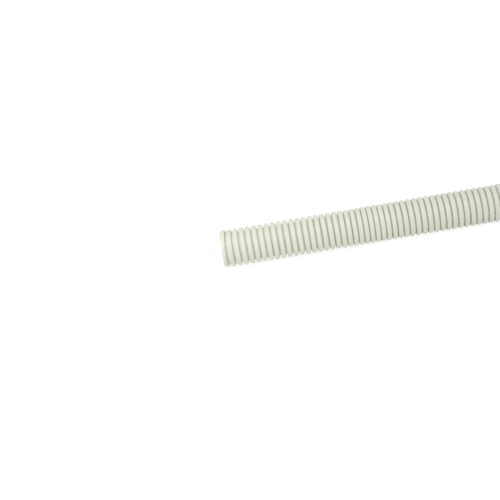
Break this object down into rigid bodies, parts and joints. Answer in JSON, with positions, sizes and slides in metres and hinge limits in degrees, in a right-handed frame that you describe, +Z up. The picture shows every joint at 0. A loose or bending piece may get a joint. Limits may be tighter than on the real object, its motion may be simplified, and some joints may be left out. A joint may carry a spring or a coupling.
{
  "type": "corrugated flexible conduit",
  "caption": "Straight length of thin-walled corrugated plastic tube that sheathes and guides electrical cable, with rounded crests, an open bore and square-cut ends.",
  "frame": {"origin": "on the floor, below the middle of the conduit's length", "axes": "+X along the conduit's axis towards the end that the picture's edge cuts off, +Z up; the pictured cut end is at -X"},
  "size_m": [1, 0.02, 0.02],
  "materials": {
    "ivory_plastic": "satin"
  },
  "bodies": {
    "root": {"conduit": "ivory_plastic"}
  },
  "joints": []
}
